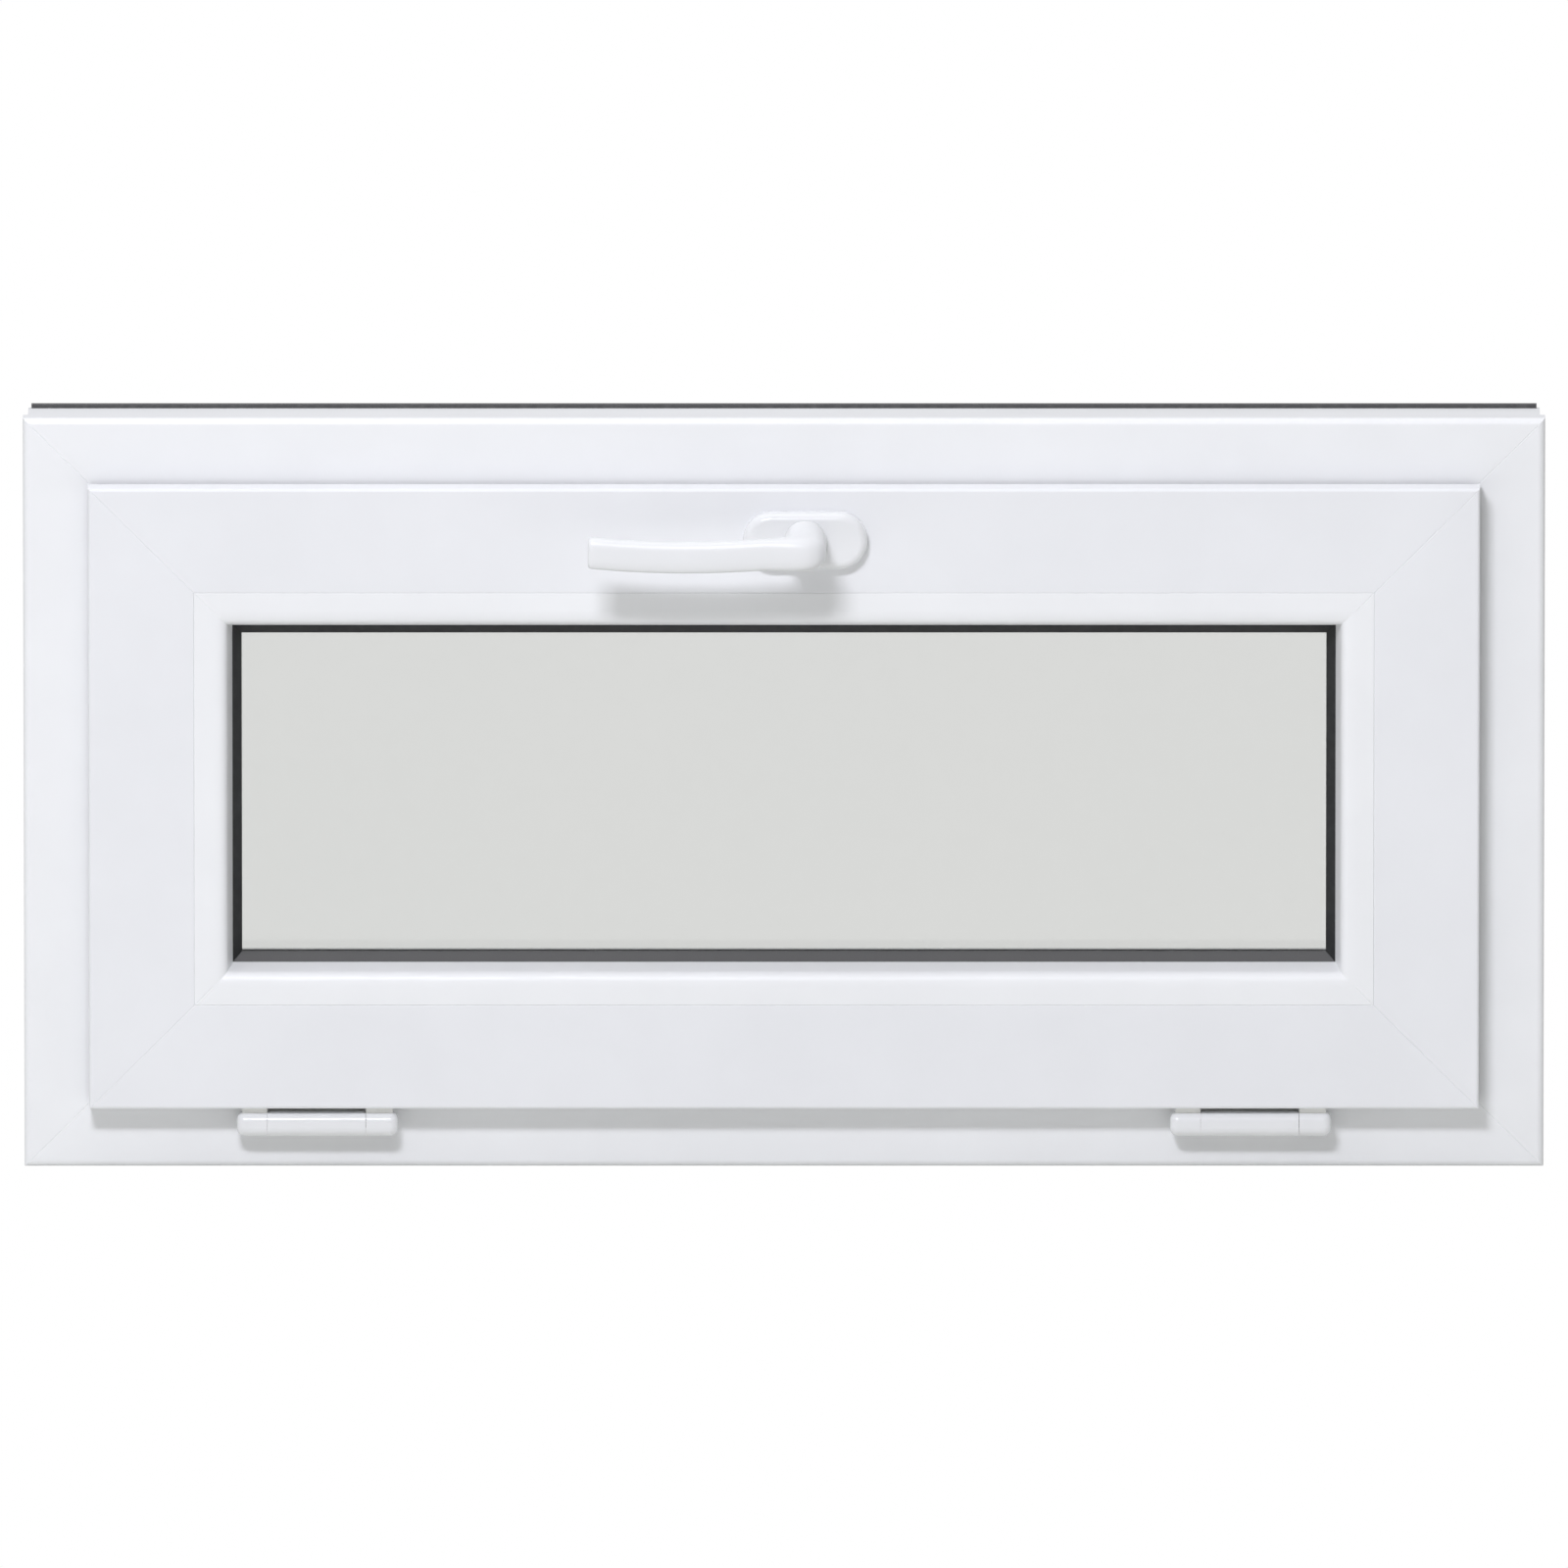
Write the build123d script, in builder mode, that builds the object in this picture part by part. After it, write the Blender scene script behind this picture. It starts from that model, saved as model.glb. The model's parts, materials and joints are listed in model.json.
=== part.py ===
from build123d import *
import math
import os

# Bottom-hung casement window in hollow PVC profile. It tilts into the room about two
# surface hinges on the bottom rail and is locked by a handle on the top rail of the sash.
#
# Millimetres. X runs to the right as seen from the room, -Y points into the room and Z is up.
# The origin is the middle of the underside of the frame's room-side flange.
#
# A profile section is drawn as (inset, depth): inset is measured from the outer edge of the
# frame towards the middle of the window, depth from the frame's room face to the outside.

# ---- driving dimensions: frame ----
frame_width = 1000.0
frame_height = 500.0
frame_depth = 60.0
flange_depth = 15.0
flange_step = 3.0
frame_face = 51.2
stop_height = 20.0
stop_depth = 15.0
frame_edge_radius = 4.5
wall = 2.8
web = 2.5
steel_wall = 1.5
steel_play = 0.3
steel_corner_setback = 75.0
sash_steel_setback = 18.0
seam_size = 0.5

# ---- driving dimensions: sash and glazing ----
sash_inset = 43.0
sash_overlap = 20.2
sash_proud = 23.0
seal_gap = 3.5
back_gap = 3.0
sash_edge_radius = 2.0
groove_start = 8.0
groove_width = 18.0
groove_deep = 9.0
bead_inset = 112.3
bead_flat = 12.0
bead_chamber_end = 16.5
bead_slope_start = (22.0, -17.0)
bead_width = 25.1
bead_nose_depth = -1.0
leg_inset = 139.5
gasket_lip = 143.5
glass_room_depth = 5.5
pane_thickness = 4.0
pane_gap = 16.0
packer_thickness = 5.0
spacer_width = 8.0

# ---- driving dimensions: hinges ----
hinge_x = 307.0
hinge_below_sash = 11.5
hinge_before_frame = 12.5
hinge_length = 106.0
hinge_cover_size = 16.0
hinge_cover_radius = 6.5
knuckle_radius = 6.4
pin_radius = 3.0
running_gap = 0.05
leaf_thickness = 2.5

# ---- driving dimensions: handle, gearbox and lock ----
handle_x = 14.0
handle_below_top = 76.3
rose_length = 81.7
rose_height = 37.5
rose_thickness = 11.0
collar_radius = 12.0
spindle_size = 7.0
gear_module = 1.0
gear_teeth = 16
pressure_angle = math.radians(20)
handle_turn = math.radians(90)
cam_x = 330.0
cam_radius = 5.5

# ---- driving dimensions: screws, each its length, shank radius and head radius ----
hinge_frame_screw = (26.0, 2.1, 4.0)
hinge_sash_screw = (24.0, 2.1, 4.0)
keep_screw = (24.0, 2.1, 4.0)
plate_screw = (22.0, 1.75, 3.4)
handle_screw = (48.0, 2.5, 4.6)
stay_screw = (20.0, 1.9, 3.6)

# ---- driving dimensions: stays ----
stay_length = 170.0
stay_lean = math.radians(7.5)
tilt_range = math.radians(28)

# ---- positions worked out from them ----
room_y = -flange_depth / 2
back_y = room_y + frame_depth
half_width = frame_width / 2
middle_z = frame_height / 2
stop_face = frame_depth - stop_depth
stop_inset = frame_face + stop_height
sash_body = sash_inset + sash_overlap
sash_back = stop_face - back_gap
glass_out_depth = glass_room_depth + 2 * pane_thickness + pane_gap
leg_depth = glass_out_depth + 4.0
glass_edge = bead_inset + packer_thickness
bead_inner = bead_inset + bead_width
sash_face_y = room_y - sash_proud
sash_top = frame_height - sash_body
rebate_top = frame_height - frame_face
groove_y = room_y + groove_start + groove_width / 2
hinge_y = room_y - hinge_before_frame
hinge_z = sash_inset - hinge_below_sash
handle_z = frame_height - handle_below_top
pitch_radius = gear_module * gear_teeth / 2
rod_travel = pitch_radius * handle_turn
window_reach = 150.0

os.makedirs("parts", exist_ok=True)

# Each side of the window: the plane that its section is drawn on, and its outer length.
sides = {
    "bottom": (Plane((0, room_y, 0), x_dir=(0, 0, 1), z_dir=(-1, 0, 0)), frame_width),
    "top": (Plane((0, room_y, frame_height), x_dir=(0, 0, -1), z_dir=(1, 0, 0)), frame_width),
    "left": (Plane((-half_width, room_y, middle_z), x_dir=(1, 0, 0), z_dir=(0, 0, 1)), frame_height),
    "right": (Plane((half_width, room_y, middle_z), x_dir=(-1, 0, 0), z_dir=(0, 0, -1)), frame_height),
}


def chamber(low_inset, high_inset, low_depth, high_depth):
    """A hollow in a profile section."""
    with Locations((low_inset, low_depth)):
        Rectangle(
            high_inset - low_inset,
            high_depth - low_depth,
            align=(Align.MIN, Align.MIN),
            mode=Mode.SUBTRACT,
        )


def block(low, high, mode=Mode.ADD):
    """A box from its lowest to its highest corner."""
    with Locations(low):
        Box(*[b - a for a, b in zip(low, high)], align=(Align.MIN,) * 3, mode=mode)


def straight_bar(section, side, setback):
    """A bar of the given section along one side, square at both ends."""
    plane, length = sides[side]
    with BuildSketch(plane.offset(setback - length / 2)) as face:
        add(section.sketch)
    extrude(face.sketch, amount=length - 2 * setback)


def mitred_bar(section, side, cutters=(), seams=()):
    """A bar of the given section along one side, its ends cut at 45 degrees.

    A seam is the shallow V left along a cleaned weld: its two insets and the face's depth.
    """
    plane, length = sides[side]
    with BuildPart() as bar:
        straight_bar(section, side, 0)
        with BuildSketch(Plane(plane.origin, x_dir=plane.z_dir, z_dir=plane.y_dir)):
            with BuildLine():
                Polyline(
                    (-length / 2, 0),
                    (length / 2, 0),
                    (length / 2 - window_reach, window_reach),
                    (window_reach - length / 2, window_reach),
                    close=True,
                )
            make_face()
        extrude(amount=frame_depth + sash_proud, both=True, mode=Mode.INTERSECT)
        for low, high, depth in seams:
            for end in (-1, 1):
                start = Vector(*plane.from_local_coords((low, depth, end * (length / 2 - low))))
                along = plane.x_dir - plane.z_dir * end
                with BuildSketch(Plane(start, x_dir=plane.y_dir, z_dir=along)):
                    Rectangle(seam_size, seam_size, rotation=45)
                extrude(amount=(high - low) * math.sqrt(2), mode=Mode.SUBTRACT)
        for cutter in cutters:
            add(cutter.part, mode=Mode.SUBTRACT)
    return bar


def screw(length, radius, head_radius):
    """A countersunk screw: its head's top at the origin, its point down -Z."""
    head_height = head_radius - radius
    tip = radius / 2
    with BuildPart() as fastener:
        with BuildSketch(Plane.XZ):
            with BuildLine():
                Polyline(
                    (0, 0),
                    (head_radius, 0),
                    (radius, -head_height),
                    (radius, tip - length),
                    (tip, -length),
                    (0, -length),
                    close=True,
                )
            make_face()
        revolve(axis=Axis.Z)
    return fastener.part


def placed(shape, planes):
    """Copies of a shape, one on each plane."""
    with BuildPart() as group:
        for plane in planes:
            with Locations(plane):
                add(shape)
    return group


# ---- profile sections ----
with BuildSketch() as frame_section:
    with BuildLine():
        Polyline(
            (0, 0),
            (frame_face, 0),
            (frame_face, stop_face),
            (stop_inset, stop_face),
            (stop_inset, frame_depth),
            (flange_step, frame_depth),
            (flange_step, flange_depth),
            (0, flange_depth),
            close=True,
        )
    make_face()
    fillet(frame_section.vertices().sort_by_distance((0, 0))[0], frame_edge_radius)
    fillet(frame_section.vertices().sort_by_distance((frame_face, 0))[0], 1.0)
    fillet(frame_section.vertices().group_by(Axis.X)[-1], 1.5)
    chamber(flange_step + wall, frame_face - wall, wall, flange_depth - web)
    chamber(flange_step + wall, frame_face - wall, flange_depth, stop_face)
    chamber(flange_step + wall, stop_inset - wall, stop_face + wall, frame_depth - wall)

with BuildSketch() as frame_steel_section:
    chamber_width = frame_face - flange_step - 2 * wall
    with Locations(((frame_face + flange_step) / 2, (flange_depth + stop_face) / 2)):
        Rectangle(chamber_width - 2 * steel_play, stop_face - flange_depth - 2 * steel_play)
    offset(amount=-steel_wall, mode=Mode.SUBTRACT)

with BuildSketch() as sash_section:
    with BuildLine():
        Polyline(
            (sash_inset, -sash_proud),
            (bead_inset, -sash_proud),
            (bead_inset, leg_depth),
            (leg_inset, leg_depth),
            (leg_inset, sash_back),
            (sash_body, sash_back),
            (sash_body, groove_start + groove_width),
            (sash_body + groove_deep, groove_start + groove_width),
            (sash_body + groove_deep, groove_start),
            (sash_body, groove_start),
            (sash_body, -seal_gap),
            (sash_inset, -seal_gap),
            close=True,
        )
    make_face()
    fillet(sash_section.vertices().sort_by_distance((sash_inset, -sash_proud))[0], sash_edge_radius)
    fillet(sash_section.vertices().sort_by_distance((bead_inset, -sash_proud))[0], 0.6)
    fillet(sash_section.vertices().sort_by_distance((leg_inset, sash_back))[0], 2.5)
    groove_floor = sash_body + groove_deep + wall
    rear_web = groove_start + groove_width + wall
    chamber(sash_inset + wall, bead_inset - wall, wall - sash_proud, -seal_gap - wall)
    chamber(groove_floor, bead_inset - wall, -seal_gap, rear_web - web)
    chamber(sash_body + wall, bead_inset - wall, rear_web, sash_back - wall)
    chamber(bead_inset, leg_inset - wall, leg_depth + wall, sash_back - wall)

with BuildSketch() as sash_steel_section:
    steel_start = groove_floor + sash_steel_setback
    with Locations((steel_start, steel_play - seal_gap)):
        Rectangle(
            bead_inset - wall - steel_play - steel_start,
            rear_web - web + seal_gap - 2 * steel_play,
            align=(Align.MIN, Align.MIN),
        )
    offset(amount=-steel_wall, mode=Mode.SUBTRACT)

gasket_seat = bead_inner - 4.0
gasket_root = glass_room_depth - 4.0
slope_start = (bead_inset + bead_slope_start[0], bead_slope_start[1])
slope_run = (bead_inner - slope_start[0], bead_nose_depth - slope_start[1])
with BuildSketch() as bead_section:
    with BuildLine():
        Polyline(
            slope_start,
            (bead_inner, bead_nose_depth),
            (gasket_seat, gasket_root),
            (bead_inset, gasket_root),
            (bead_inset, -sash_proud),
            (bead_inset + bead_flat, -sash_proud),
        )
        Spline(
            (bead_inset + bead_flat, -sash_proud),
            slope_start,
            tangents=((1, 0), slope_run),
        )
    make_face()
    fillet(bead_section.vertices().sort_by_distance((bead_inset, -sash_proud))[0], 0.6)
    chamber(bead_inset + wall, bead_inset + bead_chamber_end, wall - sash_proud, gasket_root - wall)

with BuildSketch() as inner_gasket_section:
    with BuildLine():
        Polyline(
            (bead_inner, bead_nose_depth),
            (gasket_lip, glass_room_depth - 0.8),
            (gasket_lip, glass_room_depth),
            (gasket_seat - 4, glass_room_depth),
            (gasket_seat - 4, gasket_root),
            (gasket_seat, gasket_root),
            close=True,
        )
    make_face()

with BuildSketch() as outer_gasket_section:
    with BuildLine():
        Polyline(
            (leg_inset - 7, glass_out_depth),
            (leg_inset + 1, glass_out_depth),
            (leg_inset, leg_depth),
            (leg_inset - 7, leg_depth),
            close=True,
        )
    make_face()

seal_width = 4.5
with BuildSketch() as sash_seal_section:
    with Locations((sash_inset + 2, -seal_gap)):
        Rectangle(seal_width, seal_gap, align=(Align.MIN, Align.MIN))
    fillet(sash_seal_section.vertices().group_by(Axis.Y)[-1], 1.6)

with BuildSketch() as frame_seal_section:
    with Locations((stop_inset - 2, stop_face)):
        Rectangle(seal_width, back_gap, align=(Align.MAX, Align.MAX))
    fillet(frame_seal_section.vertices().group_by(Axis.Y)[0], 1.3)

# ---- fasteners, made first because they also cut their own holes ----
hinge_centres = (-hinge_x, hinge_x)
frame_leaf_top = frame_face + leaf_thickness
sash_leaf_low = sash_body - leaf_thickness

hinge_frame_screws = placed(
    screw(*hinge_frame_screw),
    [
        Plane((centre + step, room_y + 12, frame_leaf_top))
        for centre in hinge_centres
        for step in (-20, 0, 20)
    ],
)
hinge_frame_screws.part.label = "hinge_frame_screws"
export_step(hinge_frame_screws.part, "parts/hinge_frame_screws.step")

hinge_sash_screws = placed(
    screw(*hinge_sash_screw),
    [
        Plane((centre + step, room_y + 2.2, sash_leaf_low), x_dir=(1, 0, 0), z_dir=(0, 0, -1))
        for centre in hinge_centres
        for step in (-42, 0, 42)
    ],
)
hinge_sash_screws.part.label = "hinge_sash_screws"
export_step(hinge_sash_screws.part, "parts/hinge_sash_screws.step")

keep_base = 2.5
keep_low = rebate_top - keep_base
keep_centres = [side * cam_x - rod_travel / 2 for side in (-1, 1)]
keep_screws = placed(
    screw(*keep_screw),
    [
        Plane((centre + step, groove_y - 7, keep_low), x_dir=(1, 0, 0), z_dir=(0, 0, -1))
        for centre in keep_centres
        for step in (-13, 13)
    ],
)
keep_screws.part.label = "keep_screws"
export_step(keep_screws.part, "parts/keep_screws.step")

plate_screw_x = (-390, -200, 200, 390)
faceplate_screws = placed(
    screw(*plate_screw),
    [Plane((x, groove_y, sash_top)) for x in plate_screw_x],
)
faceplate_screws.part.label = "faceplate_screws"
export_step(faceplate_screws.part, "parts/faceplate_screws.step")

handle_screw_spacing = 43.0
rose_base_front = sash_face_y - 5.0
handle_screws = placed(
    screw(*handle_screw),
    [
        Plane((handle_x + step, rose_base_front, handle_z), x_dir=(1, 0, 0), z_dir=(0, -1, 0))
        for step in (-handle_screw_spacing / 2, handle_screw_spacing / 2)
    ],
)
handle_screws.part.label = "handle_screws"
export_step(handle_screws.part, "parts/handle_screws.step")

# The stay: the arm's fixed pivot and its sliding end lie on one line through the hinge axis,
# with the pivot half way, so the arm always turns through twice the sash's angle.
stay_direction = (math.sin(stay_lean), math.cos(stay_lean))
stay_travel = 2 * stay_length * (1 - math.cos(tilt_range))
stay_sides = {"left": -1, "right": 1}


def stay_plane(side, along, across, inset):
    """A plane facing the window's middle, on the stay's line and at an inset in the gap."""
    point_y = hinge_y + along * stay_direction[0] + across * stay_direction[1]
    point_z = hinge_z + along * stay_direction[1] - across * stay_direction[0]
    sign = stay_sides[side]
    line = (0, stay_direction[0], stay_direction[1])
    return Plane((sign * (half_width - inset), point_y, point_z), x_dir=line, z_dir=(-sign, 0, 0))


stay_plate = 2.0
stay_bracket_screws = placed(
    screw(*stay_screw),
    [
        stay_plane(side, stay_length + step, 0, frame_face + stay_plate)
        for side in stay_sides
        for step in (-16, 16)
    ],
)
stay_bracket_screws.part.label = "stay_bracket_screws"
export_step(stay_bracket_screws.part, "parts/stay_bracket_screws.step")

track_thickness = 4.5
track_middle = 2 * stay_length - stay_travel / 2
track_length = stay_travel + 34.0
track_screw_step = track_length / 2 - 6.0
track_screws = placed(
    screw(*stay_screw),
    [
        Plane(face.origin, x_dir=face.x_dir, z_dir=-face.z_dir)
        for side in stay_sides
        for step in (-track_screw_step, track_screw_step)
        for face in [stay_plane(side, track_middle + step, 0, sash_body - track_thickness)]
    ],
)
track_screws.part.label = "track_screws"
export_step(track_screws.part, "parts/track_screws.step")

# ---- frame ----
fixing_spacing = 250.0
fixing_radius = 4.0
with BuildPart() as fixing_holes:
    for side in ("left", "right"):
        plane = sides[side][0]
        with BuildSketch(Plane(plane.origin, x_dir=plane.z_dir, z_dir=plane.x_dir)):
            for step in (-fixing_spacing / 2, fixing_spacing / 2):
                with Locations((step, -frame_depth / 2)):
                    Circle(fixing_radius)
        extrude(amount=frame_face)

slot_length = 28.0
slot_height = 5.0
inner_slot_x = 200.0
outer_slot_x = 300.0
outer_slot_z = flange_step + wall + 5.0
inner_slot_z = frame_face + 1.0
stop_y = room_y + stop_face
with BuildPart() as drain_slots:
    for x in (-inner_slot_x, inner_slot_x):
        block(
            (x - slot_length / 2, stop_y - 1, inner_slot_z),
            (x + slot_length / 2, stop_y + wall + 1, inner_slot_z + slot_height),
        )
    for x in (-outer_slot_x, outer_slot_x):
        block(
            (x - slot_length / 2, back_y - wall - 1, outer_slot_z - slot_height / 2),
            (x + slot_length / 2, back_y + 1, outer_slot_z + slot_height / 2),
        )

frame_cutters = {
    "bottom": (hinge_frame_screws, drain_slots),
    "top": (keep_screws,),
    "left": (stay_bracket_screws, fixing_holes),
    "right": (stay_bracket_screws, fixing_holes),
}
frame_seams = ((0, frame_face, 0), (flange_step, stop_inset, frame_depth))
frame_names = {
    "bottom": "bottom_rail",
    "top": "top_rail",
    "left": "left_jamb",
    "right": "right_jamb",
}
for side, piece_name in frame_names.items():
    frame_bar = mitred_bar(frame_section, side, frame_cutters[side], frame_seams)
    frame_bar.part.label = f"frame_{piece_name}"
    export_step(frame_bar.part, f"parts/frame_{piece_name}.step")

with BuildPart() as frame_reinforcements:
    for side in sides:
        straight_bar(frame_steel_section, side, steel_corner_setback)
    for cutter in (hinge_frame_screws, keep_screws, stay_bracket_screws, fixing_holes):
        add(cutter.part, mode=Mode.SUBTRACT)
frame_reinforcements.part.label = "frame_reinforcements"
export_step(frame_reinforcements.part, "parts/frame_reinforcements.step")

with BuildPart() as frame_seal:
    for side in sides:
        add(mitred_bar(frame_seal_section, side).part)
frame_seal.part.label = "frame_seal"
export_step(frame_seal.part, "parts/frame_seal.step")

# Dark sealing strip in the step along the top of the frame, at its outer edge.
strip_size = 3.4
strip_half = half_width - flange_step - 2.0
with BuildPart() as top_sealing_strip:
    block(
        (-strip_half, back_y - strip_size, frame_height - flange_step),
        (strip_half, back_y, frame_height),
    )
    fillet(top_sealing_strip.edges().filter_by(Axis.X).group_by(Axis.Z)[-1], 0.8)
top_sealing_strip.part.label = "top_sealing_strip"
export_step(top_sealing_strip.part, "parts/top_sealing_strip.step")

# Hoods over the outer drain slots, open underneath.
cap_length = 42.0
cap_height = 13.0
cap_depth = 4.5
cap_wall = 1.7
with BuildPart() as drainage_caps:
    for x in (-outer_slot_x, outer_slot_x):
        with BuildSketch(Plane((x, back_y, outer_slot_z), x_dir=(1, 0, 0), z_dir=(0, 1, 0))):
            RectangleRounded(cap_length, cap_height, 3)
        extrude(amount=cap_depth, taper=20)
        block(
            (x - slot_length / 2 - 1, back_y - 1, outer_slot_z - cap_height / 2 - 1),
            (x + slot_length / 2 + 1, back_y + cap_depth - cap_wall, outer_slot_z + 4),
            Mode.SUBTRACT,
        )
drainage_caps.part.label = "drainage_caps"
export_step(drainage_caps.part, "parts/drainage_caps.step")

# ---- sash ----
spindle_clearance_radius = 7.5
with BuildPart() as spindle_clearance:
    with BuildSketch(Plane((handle_x, sash_face_y, handle_z), x_dir=(1, 0, 0), z_dir=(0, 1, 0))):
        Circle(spindle_clearance_radius)
    extrude(amount=sash_proud + groove_start)

case_half = 30.0
case_low = handle_z - 14.0
case_play = 0.2
pocket_half = case_half + case_play
pocket_reach = groove_width / 2 + case_play
with BuildPart() as gearbox_pocket:
    block(
        (handle_x - pocket_half, groove_y - pocket_reach, case_low - case_play),
        (handle_x + pocket_half, groove_y + pocket_reach, sash_top),
    )

sash_cutters = {
    "bottom": (hinge_sash_screws,),
    "top": (faceplate_screws, handle_screws, spindle_clearance, gearbox_pocket),
    "left": (track_screws,),
    "right": (track_screws,),
}
sash_seams = ((sash_inset, bead_inset, -sash_proud), (sash_body, leg_inset, sash_back))
sash_names = {
    "bottom": "bottom_rail",
    "top": "top_rail",
    "left": "left_stile",
    "right": "right_stile",
}
for side, piece_name in sash_names.items():
    sash_bar = mitred_bar(sash_section, side, sash_cutters[side], sash_seams)
    sash_bar.part.label = f"sash_{piece_name}"
    export_step(sash_bar.part, f"parts/sash_{piece_name}.step")

with BuildPart() as sash_reinforcements:
    for side in sides:
        straight_bar(sash_steel_section, side, window_reach)
sash_reinforcements.part.label = "sash_reinforcements"
export_step(sash_reinforcements.part, "parts/sash_reinforcements.step")

# The sash seal is cut away where the hinge leaves pass through the gap.
with BuildPart() as sash_seal:
    for side in sides:
        add(mitred_bar(sash_seal_section, side).part)
    for centre in hinge_centres:
        block(
            (centre - hinge_length / 2, sash_face_y, 0),
            (centre + hinge_length / 2, room_y + stop_face, sash_body),
            Mode.SUBTRACT,
        )
sash_seal.part.label = "sash_seal"
export_step(sash_seal.part, "parts/sash_seal.step")

# ---- glazing ----
bead_seam = (bead_inset, bead_inset + bead_flat, -sash_proud)
for side in sides:
    bead = mitred_bar(bead_section, side, seams=(bead_seam,))
    bead.part.label = f"glazing_bead_{side}"
    export_step(bead.part, f"parts/glazing_bead_{side}.step")

with BuildPart() as inner_glazing_gasket:
    for side in sides:
        add(mitred_bar(inner_gasket_section, side).part)
inner_glazing_gasket.part.label = "inner_glazing_gasket"
export_step(inner_glazing_gasket.part, "parts/inner_glazing_gasket.step")

with BuildPart() as outer_glazing_gasket:
    for side in sides:
        add(mitred_bar(outer_gasket_section, side).part)
outer_glazing_gasket.part.label = "outer_glazing_gasket"
export_step(outer_glazing_gasket.part, "parts/outer_glazing_gasket.step")


def glazing_slab(low_depth, thickness, outer_inset, inner_inset=None):
    """A rectangular plate parallel to the glass, or a ring if it has an inner inset."""
    middle = Plane((0, room_y + low_depth, middle_z), x_dir=(1, 0, 0), z_dir=(0, -1, 0))
    with BuildPart() as slab:
        with BuildSketch(middle):
            Rectangle(frame_width - 2 * outer_inset, frame_height - 2 * outer_inset)
            if inner_inset:
                opening_width = frame_width - 2 * inner_inset
                opening_height = frame_height - 2 * inner_inset
                Rectangle(opening_width, opening_height, mode=Mode.SUBTRACT)
        extrude(amount=-thickness)
    return slab


cavity_depth = glass_room_depth + pane_thickness
spacer_outer = glass_edge + 5.0

inner_pane = glazing_slab(glass_room_depth, pane_thickness, glass_edge)
inner_pane.part.label = "inner_pane"
export_step(inner_pane.part, "parts/inner_pane.step")

outer_pane = glazing_slab(cavity_depth + pane_gap, pane_thickness, glass_edge)
outer_pane.part.label = "outer_pane"
export_step(outer_pane.part, "parts/outer_pane.step")

spacer_bar = glazing_slab(cavity_depth, pane_gap, spacer_outer, spacer_outer + spacer_width)
spacer_bar.part.label = "spacer_bar"
export_step(spacer_bar.part, "parts/spacer_bar.step")

edge_seal = glazing_slab(cavity_depth, pane_gap, glass_edge, spacer_outer)
edge_seal.part.label = "edge_seal"
export_step(edge_seal.part, "parts/edge_seal.step")

packer_length = 90.0
packer_x = 300.0
with BuildPart() as glazing_packers:
    front, rear = room_y + glass_room_depth, room_y + glass_out_depth
    for x in (-packer_x, packer_x):
        for z in (bead_inset, frame_height - glass_edge):
            block(
                (x - packer_length / 2, front, z),
                (x + packer_length / 2, rear, z + packer_thickness),
            )
    for x in (bead_inset - half_width, half_width - glass_edge):
        block(
            (x, front, middle_z - packer_length / 2),
            (x + packer_thickness, rear, middle_z + packer_length / 2),
        )
glazing_packers.part.label = "glazing_packers"
export_step(glazing_packers.part, "parts/glazing_packers.step")

# ---- hinges ----
ear_half = 4.0
ear_left = (-hinge_length / 2, -33.0)
ear_right = (32.0, hinge_length / 2)
knuckle_span = (-32.85, 31.7)
cover_end_radius = 5.0
bore_radius = pin_radius + running_gap
cover_bore = knuckle_radius + 0.1


def hinge_plane(x):
    """The plane across a hinge at x: its own x is Y, its y is Z, from the hinge axis."""
    return Plane((x, hinge_y, hinge_z), x_dir=(0, 1, 0), z_dir=(1, 0, 0))


def flat(low_y, low_z, high_y, high_z):
    """A rectangle in a hinge's plane, from corner to corner."""
    with Locations((low_y, low_z)):
        Rectangle(high_y - low_y, high_z - low_z, align=(Align.MIN, Align.MIN))


with BuildPart() as hinge_frame_leaves:
    for centre in hinge_centres:
        with BuildSketch(hinge_plane(centre + knuckle_span[0] + 1.5)):
            Circle(knuckle_radius)
            plate_front = hinge_before_frame - leaf_thickness
            plate_top = frame_leaf_top - hinge_z
            flat(0, -ear_half, plate_front, ear_half)
            flat(plate_front, -7, hinge_before_frame, plate_top)
            flat(plate_front, plate_top - leaf_thickness, hinge_before_frame + 24, plate_top)
            Circle(bore_radius, mode=Mode.SUBTRACT)
        extrude(amount=knuckle_span[1] - knuckle_span[0] - 2.5)
    add(hinge_frame_screws.part, mode=Mode.SUBTRACT)
hinge_frame_leaves.part.label = "hinge_frame_leaves"
export_step(hinge_frame_leaves.part, "parts/hinge_frame_leaves.step")

ear_inset = 3.5
ear_spans = ((ear_left[0] + ear_inset, ear_left[1]), (ear_right[0], ear_right[1] - ear_inset))
with BuildPart() as hinge_sash_leaves:
    under_flange = hinge_below_sash
    behind_flange = hinge_before_frame - 1.0
    plate_front = behind_flange - leaf_thickness
    plate_low = sash_leaf_low - hinge_z
    plate_high = sash_body - hinge_z
    for centre in hinge_centres:
        for low, high in ear_spans:
            with BuildSketch(hinge_plane(centre + low)):
                Circle(knuckle_radius)
                flat(-ear_half, 0, ear_half, under_flange)
                flat(-ear_half, under_flange - leaf_thickness, behind_flange, under_flange)
                flat(plate_front, under_flange - leaf_thickness, behind_flange, plate_high)
                Circle(bore_radius, mode=Mode.SUBTRACT)
            extrude(amount=high - low)
        with BuildSketch(hinge_plane(centre + ear_spans[0][0])):
            flat(plate_front, plate_low, behind_flange + 14, plate_high)
        extrude(amount=ear_spans[1][1] - ear_spans[0][0])
    add(hinge_sash_screws.part, mode=Mode.SUBTRACT)
hinge_sash_leaves.part.label = "hinge_sash_leaves"
export_step(hinge_sash_leaves.part, "parts/hinge_sash_leaves.step")

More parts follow.
